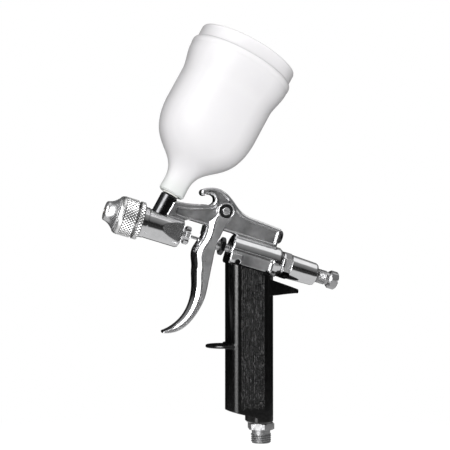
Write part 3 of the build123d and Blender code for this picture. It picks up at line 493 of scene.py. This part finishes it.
# Small turned pieces: little waviness and crisp edges
SMALL = {"wave": 0.3, "edge": 0.3}
SMALL_CHROME = chrome("turned_chrome", rough=0.12, satin=0.18, shade_and_grime=0.5, matt=0.3, **SMALL)
SATIN_CHROME = chrome("satin_chrome", 0.6, 0.24, 0.3, matt=0.2, matt_round=0.14, **SMALL)
PLATED = chrome("zinc_plate", 0.36, 0.38, 0.42, matt=0.2, matt_round=0.16, **SMALL)
DULL_CHROME = chrome("dull_chrome", 0.46, 0.3, 0.36, shade_and_grime=0.7, matt=0.25, **SMALL)
DARK_STEEL = turned_metal("dark_steel", (0.085, 0.085, 0.088), 0.17)
STEEL = turned_metal("steel", (0.58, 0.58, 0.59), 0.22)
BRASS = turned_metal("brass", (0.72, 0.53, 0.25), 0.24)
SPRING_STEEL = turned_metal("spring_steel", (0.46, 0.46, 0.48), 0.25)
NICKEL = knurled_nickel()
ENAMEL = black_enamel()
CUP_PLASTIC = milky_plastic("cup_plastic")
LID_PLASTIC = milky_plastic("lid_plastic", neck_shade=False)
RUBBER = seal("seal_rubber", (0.018, 0.018, 0.019), 0.55)
WHITE_SEAL = seal("seal_white", (0.80, 0.79, 0.76), 0.38)

FINISH = {
    "body_casting": CASTING,
    "trigger": TRIGGER_CHROME,
    "passage_plug": DARK_STEEL,
    "cup_stud": DARK_STEEL,
    "fluid_nozzle": BRASS,
    "nozzle_gasket": WHITE_SEAL,
    "packing_nut": SMALL_CHROME,
    "needle_packing": WHITE_SEAL,
    "pivot_screw": SMALL_CHROME,
    "pivot_bush": BRASS,
    "valve_gland": STEEL,
    "valve_seat": BRASS,
    "spring_housing": CHROME,
    "housing_gasket": RUBBER,
    "handle": ENAMEL,
    "handle_screws": DARK_STEEL,
    "port_seal": RUBBER,
    "finger_rest": ENAMEL,
    "air_inlet": PLATED,
    "inlet_gasket": RUBBER,
    "valve_stem": STEEL,
    "stem_nut": DARK_STEEL,
    "valve_disc": WHITE_SEAL,
    "valve_spring": SPRING_STEEL,
    "needle": STEEL,
    "needle_collar": BRASS,
    "needle_spring": SPRING_STEEL,
    "spring_button": STEEL,
    "adjusting_screw": DULL_CHROME,
    "adjuster_knob": DULL_CHROME,
    "air_cap": SATIN_CHROME,
    "cap_ring": NICKEL,
    "lock_ring": NICKEL,
    "cup_gasket": WHITE_SEAL,
    "cup_body": CUP_PLASTIC,
    "cup_lid": LID_PLASTIC,
}


# ---------------------------------------------------------------- finishes of the CAD pieces


def dress_cad():
    """Give every CAD piece its finish and nothing else."""
    for name, obj in NODES.items():
        obj.data.materials.clear()
        obj.data.materials.append(FINISH[name])


# ---------------------------------------------------------------- pieces made here


def mesh_object(name, vertices, faces, finish, angle):
    """A mesh shaded smooth, with edges sharper than the angle kept."""
    mesh = bpy.data.meshes.new(name)
    mesh.from_pydata([tuple(v) for v in vertices], [], faces)
    work = bmesh.new()
    work.from_mesh(mesh)
    bmesh.ops.recalc_face_normals(work, faces=work.faces)
    work.to_mesh(mesh)
    work.free()
    mesh.materials.append(finish)
    obj = bpy.data.objects.new(name, mesh)
    bpy.context.scene.collection.objects.link(obj)
    mesh.polygons.foreach_set("use_smooth", [True] * len(mesh.polygons))
    mesh.set_sharp_from_angle(angle=math.radians(angle))
    return obj


def in_barrel(along, across, up):
    """Point given along and off the needle axis."""
    return BARREL @ Vector((along * MM, across * MM, up * MM))


def in_row(along, across, up):
    """Point given along and off the handle's upright axis."""
    return Vector((across * MM, up * MM, along * MM))


def lathe(name, rows, around, place, finish, angle):
    """Closed turned surface. A row is a distance along the axis and a radius in mm.

    The radius may be a function of the share of a turn, for threads, knurls and hexagons."""
    vertices = []
    for along, radius in rows:
        for j in range(around):
            share = j / around
            r = radius(share) if callable(radius) else radius
            turn = 2 * math.pi * share
            vertices.append(place(along, r * math.cos(turn), r * math.sin(turn)))
    faces = []
    for i in range(len(rows)):
        low = i * around
        high = (i + 1) % len(rows) * around
        for j in range(around):
            k = (j + 1) % around
            faces.append((low + j, low + k, high + k, high + j))
    return mesh_object(name, vertices, faces, finish, angle)


def stands_for(obj, node, body):
    """Show a made piece instead of a CAD node, riding on a body."""
    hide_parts(node)
    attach(obj, body)


def knurl_row(along, start):
    """One row of a diamond knurl: two crossing families of grooves."""
    pitch = 2 * math.pi * RING_R / KNURL_COUNT

    def radius(share):
        deepest = 0.0
        for sign in (-1, 1):
            phase = (share * KNURL_COUNT + sign * (along - start) / pitch) % 1.0
            deepest = max(deepest, 1.0 - 2.0 * min(phase, 1.0 - phase))
        return RING_R - KNURL_DEPTH * max(0.0, (1 + KNURL_FLAT) * deepest - KNURL_FLAT)

    return along, radius


def knurl_band(start, end):
    """Rows of a knurl between two places on the needle axis."""
    rows = round((end - start) / KNURL_STEP)
    return [knurl_row(start + (end - start) * i / rows, start) for i in range(rows + 1)]


def knurled_ring(name, node, rows):
    """A ring with enough points round it to show the knurl, riding on its own body."""
    ring = lathe(name, rows, KNURL_COUNT * 10, in_barrel, NICKEL, 22.0)
    stands_for(ring, node, node)


def retaining_ring():
    """Ring over the air cap: rounded nose, knurled band and a stepped bore."""
    setback = [(0.0, CAP_BORE_R), (0.0, 11.15), (0.15, 11.35), (0.5, 11.6)]
    setback += [(1.1, 11.9), (2.0, 12.15), (3.0, RING_R)]
    nose = [(CAP_RING_FRONT + back, r) for back, r in setback]
    band = knurl_band(CAP_RING_FRONT + 3.2, CAP_RING_REAR - 0.4)
    rear = [(CAP_RING_REAR, RING_EDGE_R), (CAP_RING_REAR, RING_BORE_R)]
    bore = [(CAP_SEAT_REAR, RING_BORE_R), (CAP_SEAT_REAR, CAP_SEAT_R)]
    bore += [(CAP_SEAT_FRONT, CAP_SEAT_R), (CAP_SEAT_FRONT, CAP_BORE_R)]
    knurled_ring("retaining_ring", "cap_ring", nose + band + rear + bore)


def lock_ring():
    """Thin knurled nut behind the retaining ring."""
    front = [(LOCK_RING_FRONT, RING_BORE_R), (LOCK_RING_FRONT, RING_EDGE_R)]
    band = knurl_band(LOCK_RING_FRONT + 0.4, -50.1)
    rear = [(LOCK_RING_REAR, RING_EDGE_R), (LOCK_RING_REAR, RING_BORE_R)]
    knurled_ring("lock_ring_knurled", "lock_ring", front + band + rear)


def thread_row(along, r, pitch, depth):
    """One row of a vee thread with flat crests and roots."""

    def radius(share):
        phase = (along / pitch - share) % 1.0
        slope = (abs(phase - 0.5) * 2 - THREAD_FLAT) / (1 - 2 * THREAD_FLAT)
        return r - depth * min(1.0, max(0.0, slope))

    return along, radius


def hexagon_row(along, across, limit):
    """One row of a hexagon across the flats, its corners cut to a limiting radius."""

    def radius(share):
        turn = (share * 360.0 + 30.0) % 60.0 - 30.0
        return min(limit, across / 2 / cosine(turn))

    return along, radius


def inlet_thread():
    """Rows of the pipe thread, cut off by the lead-in cone and fading out at its top."""
    steps = 48
    fade = 0.6
    cone_start = INLET_R - 0.9
    rows = []
    for i in range(1, steps):
        z = INLET_THREAD_TOP * i / steps
        depth = INLET_THREAD_DEPTH * min(1.0, (INLET_THREAD_TOP - z) / fade)
        along, radius = thread_row(z, INLET_R, INLET_PITCH, depth)
        cone = cone_start + z
        rows.append((along, lambda share, radius=radius, cone=cone: min(cone, radius(share))))
    return rows


def threaded_inlet():
    """Air inlet: pipe thread, neck, hexagon and the stub in the handle."""
    rows = [(INLET_TOP, INLET_BORE_R), (0.4, INLET_BORE_R), (0.0, INLET_BORE_R + 0.4)]
    rows += [(0.0, INLET_R - 0.95), *inlet_thread()]
    rows += [(INLET_THREAD_TOP, INLET_R), (INLET_THREAD_TOP, INLET_NECK_R)]
    rows.append((INLET_HEX_LOW, INLET_NECK_R))
    corner = INLET_HEX_AF / 2 / cosine(30)
    chamfered = corner - 1.0
    hexagon = [(INLET_HEX_LOW, chamfered), (INLET_HEX_LOW + 0.6, corner)]
    hexagon += [(INLET_HEX_HIGH - 0.6, corner), (INLET_HEX_HIGH, chamfered)]
    rows += [hexagon_row(z, INLET_HEX_AF, limit) for z, limit in hexagon]
    rows += [(INLET_HEX_HIGH, INLET_STUB_R), (INLET_TOP, INLET_STUB_R)]
    inlet = lathe("threaded_inlet", rows, 120, in_row, PLATED, 24.0)
    stands_for(inlet, "air_inlet", "gun_body")


def screw_thread():
    """Rows of the adjusting screw's thread, fading out at both ends."""
    steps = 170
    fade = 0.5
    rows = []
    for i in range(steps + 1):
        along = SCREW_THREAD_START + (SCREW_THREAD_END - SCREW_THREAD_START) * i / steps
        ease = min(1.0, (along - SCREW_THREAD_START) / fade, (SCREW_THREAD_END - along) / fade)
        rows.append(thread_row(along, SCREW_R, SCREW_PITCH, SCREW_THREAD_DEPTH * ease))
    return rows


def threaded_adjuster():
    """Adjusting screw with its one millimetre thread and a plain neck."""
    rows = [(SCREW_BORE_END, AXIS_R), (SCREW_BORE_END, SCREW_BORE_R)]
    rows += [(SCREW_FRONT, SCREW_BORE_R), (SCREW_FRONT, SCREW_R - 0.5)]
    rows += [(63.0, SCREW_R - 0.05), *screw_thread(), (77.4, SCREW_NECK_R)]
    rows += [(SCREW_NECK_END, SCREW_NECK_R), (SCREW_NECK_END, SCREW_STEM_R)]
    rows += [(SCREW_REAR, SCREW_STEM_R), (SCREW_REAR, AXIS_R)]
    screw = lathe("threaded_adjuster", rows, 72, in_barrel, DULL_CHROME, 24.0)
    stands_for(screw, "adjusting_screw", "adjuster")


def coil_travel(turn, turns):
    """Pitches gained by a turn, with the first and last turns closed to half a pitch."""
    closed = min(turn, turns - turn, 1.0)
    eased = closed * closed * (3 - 2 * closed)
    if turn < 1.0:
        return 0.5 * eased * turn
    if turn > turns - 1.0:
        return turns - 1.0 - 0.5 * eased * (turns - turn)
    return turn - 0.5


def coil(name, start, end, middle, turns):
    """Compression spring round the needle axis with closed end turns."""
    around = 40
    section = 10
    wire = SPRING_WIRE_R
    total = turns * around
    vertices = []
    for i in range(total + 1):
        turn = i / total * turns
        travel = coil_travel(turn, turns)
        place = start + wire + (end - start - 2 * wire) * travel / (turns - 1.0)
        angle = 2 * math.pi * turn
        for k in range(section):
            a = 2 * math.pi * k / section
            r = middle + wire * math.cos(a)
            along = place + wire * math.sin(a)
            vertices.append(in_barrel(along, r * math.cos(angle), r * math.sin(angle)))
    faces = []
    for i in range(total):
        near = i * section
        far = near + section
        for k in range(section):
            n = (k + 1) % section
            faces.append((near + k, near + n, far + n, far + k))
    faces.append(tuple(range(section)))
    faces.append(tuple(range(total * section, len(vertices))))
    return mesh_object(name, vertices, faces, SPRING_STEEL, 60.0)


def spring(name, node, body, joint, start, end, middle, turns, squeeze):
    """Coil that rides on the body at its front end."""
    made = coil(name, start, end, middle, turns)
    stands_for(made, node, body)
    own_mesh(made)


def springs():
    """Valve and needle springs."""
    ends = (VALVE_SPRING_FRONT, VALVE_SPRING_REAR, VALVE_SPRING_R)
    spring("valve_coil", "valve_spring", "valve_stem", "stem_slide", *ends, 7, VALVE_SQUEEZE)
    ends = (NEEDLE_SPRING_FRONT, NEEDLE_SPRING_REAR, NEEDLE_SPRING_R)
    spring("needle_coil", "needle_spring", "needle", "needle_slide", *ends, 5, NEEDLE_SQUEEZE)


# ---------------------------------------------------------------- light, floor, camera

# Tall soft boxes round the gun: compass direction, core and edge half widths in degrees, power
SOFT_BOXES = [
    ((-0.707, -0.707), 11, 22, 11.0),
    ((0.93, -0.36), 4, 13, 0.2),
]
# Compass direction of the dark backdrop, as polished metal sees it
BEHIND = (-0.236, 0.972, 0)
# Directions to the overhead light and to the side diffuse surfaces are lit from
OVERHEAD = Vector((0.42, -0.03, 0.90)).normalized()
FRONT = Vector((-0.42, -0.70, 0.58)).normalized()
# Brightness of the floor in reflections, close to the gun and far off
FLOOR_NEAR = 0.72
FLOOR_FAR = 0.03
# Round floor, in metres, clear below the gun so that no shadow touches its foot
FLOOR_R = 6.0
FLOOR_SIDES = 64
FLOOR_CENTRE = (-0.02, 0, -0.04)
# Camera and the point it looks at, in metres, then its lens and sensor width in mm
CAMERA_PLACE = (-0.2093, -0.7782, 0.1305)
CAMERA_TARGET = (-0.02387, 0.0, 0.14024)
CAMERA_LENS = 99.7
CAMERA_SENSOR = 36.0


def toward(g, heading, target, edge, core, at_edge, at_core):
    """A level for headings within core degrees of the target, another past the edge."""
    aligned = g.vector("DOT_PRODUCT", heading, target)
    return g.fit(aligned, cosine(edge), cosine(core), at_edge, at_core, smooth=True)


def box_light(g, compass, height):
    """Brightness of the tall soft boxes, which end above and below the gun."""
    boxes = None
    for heading, core, edge, power in SOFT_BOXES:
        span = toward(g, compass, (*heading, 0), edge, core, 0.0, power)
        boxes = span if boxes is None else g.math("MAXIMUM", boxes, span)
    bottom = g.fit(height, -0.35, -0.15, smooth=True)
    top = g.fit(height, 0.70, 0.90, 1.0, 0.0, smooth=True)
    return g.math("MULTIPLY", boxes, g.math("MULTIPLY", bottom, top))


def studio_world():
    """White surround; polished metal sees a darker studio with tall soft boxes."""
    world = bpy.data.worlds.new("studio")
    bpy.context.scene.world = world
    world.use_nodes = True
    g = Graph(world.node_tree)
    direction = g.node("ShaderNodeTexCoord").outputs["Generated"]
    height = g.split(direction, "Z")
    low_sky = [(0.0, 0.012), (0.17, 0.02), (0.28, 0.14), (0.45, 0.20)]
    high_sky = [(0.60, 0.27), (0.78, 0.34), (1.0, 0.40)]
    sky = g.ramp(height, low_sky + high_sky)
    overhead = toward(g, direction, OVERHEAD, 34, 20, 0.0, 1.15)
    compass = g.vector("NORMALIZE", g.vector("MULTIPLY", direction, (1, 1, 0)))
    boxes = box_light(g, compass, height)
    behind = toward(g, compass, BEHIND, 48, 30, 1.0, 0.12)
    sky = g.mix(1.0, sky, behind, blend="MULTIPLY")
    glossy = g.mix(1.0, sky, g.math("MAXIMUM", boxes, overhead), blend="LIGHTEN")
    soft = g.fit(g.vector("DOT_PRODUCT", direction, FRONT), -1.0, 1.0, 0.50, 1.52)
    path = g.node("ShaderNodeLightPath")
    seen = g.mix(path.outputs["Is Glossy Ray"], soft, glossy)
    seen = g.mix(path.outputs["Is Camera Ray"], seen, 1.0)
    back = g.node("ShaderNodeBackground", {"Color": seen, "Strength": 1.0})
    g.node("ShaderNodeOutputWorld", {"Surface": back.outputs["Background"]})


def floor_mirrored(g, coords, distance):
    """Floor as polished metal sees it: dim far off and behind, lit under the big soft box."""
    dim = g.fit(distance, 0.26, 0.42, FLOOR_NEAR, FLOOR_FAR, smooth=True)
    behind = g.fit(g.split(coords, "Y"), 0.18, 0.34, 1.0, 0.08, smooth=True)
    dim = g.math("MULTIPLY", dim, behind)
    heading = (*SOFT_BOXES[0][0], 0)
    left = toward(g, g.vector("NORMALIZE", coords), heading, 24, 12, 0.0, 2.6)
    left = g.math("MULTIPLY", left, g.fit(distance, 0.12, 0.25, smooth=True))
    return g.node("ShaderNodeEmission", {"Strength": g.math("MAXIMUM", dim, left)})


def floor_paper():
    """Pale paper that fades into the white surround."""
    made, g = material("floor_white")
    coords = object_coords(g)
    distance = g.vector("LENGTH", coords)
    grain = g.noise(coords, 30.0, 3.0, 0.5)
    tone = g.mix(g.fit(grain, 0.3, 0.7), (0.90, 0.90, 0.90), (0.86, 0.86, 0.86))
    paper = g.node("ShaderNodeBsdfDiffuse", {"Color": tone})
    lift = g.node("ShaderNodeEmission", {"Strength": 0.12})
    near = g.node("ShaderNodeAddShader", {0: paper.outputs["BSDF"], 1: lift.outputs["Emission"]})
    white = g.node("ShaderNodeEmission", {"Color": (1, 1, 1, 1), "Strength": 1.0})
    fade = g.fit(distance, 0.16, 0.42, smooth=True)
    faded = {0: fade, 1: near.outputs["Shader"], 2: white.outputs["Emission"]}
    seen = g.node("ShaderNodeMixShader", faded)
    mirrored = floor_mirrored(g, coords, distance)
    glossy = g.node("ShaderNodeLightPath").outputs["Is Glossy Ray"]
    mixed = {0: glossy, 1: seen.outputs["Shader"], 2: mirrored.outputs["Emission"]}
    finish_surface(g, g.node("ShaderNodeMixShader", mixed).outputs["Shader"])
    return made


def floor():
    """Round sheet below the gun."""
    vertices = [(0, 0, 0)]
    for i in range(FLOOR_SIDES):
        a = 2 * math.pi * i / FLOOR_SIDES
        vertices.append((FLOOR_R * math.cos(a), FLOOR_R * math.sin(a), 0))
    faces = [(0, 1 + i, 1 + (i + 1) % FLOOR_SIDES) for i in range(FLOOR_SIDES)]
    mesh = bpy.data.meshes.new("floor")
    mesh.from_pydata(vertices, [], faces)
    mesh.materials.append(floor_paper())
    obj = bpy.data.objects.new("floor", mesh)
    obj.location = FLOOR_CENTRE
    bpy.context.scene.collection.objects.link(obj)


def camera():
    """Long lens from the side, a little towards the nozzle, as in the photograph."""
    data = bpy.data.cameras.new("camera")
    data.sensor_width = CAMERA_SENSOR
    data.lens = CAMERA_LENS
    obj = bpy.data.objects.new("camera", data)
    bpy.context.scene.collection.objects.link(obj)
    obj.location = CAMERA_PLACE
    sight = Vector(CAMERA_TARGET) - obj.location
    obj.rotation_euler = sight.to_track_quat("-Z", "Y").to_euler()
    bpy.context.scene.camera = obj


def picture_settings():
    """Plain colours, without a film curve."""
    view = bpy.context.scene.view_settings
    view.view_transform = "Standard"
    view.look = "None"
    view.exposure = 0.0
    view.gamma = 1.0


dress_cad()
retaining_ring()
lock_ring()
threaded_inlet()
threaded_adjuster()
springs()
studio_world()
floor()
camera()
picture_settings()
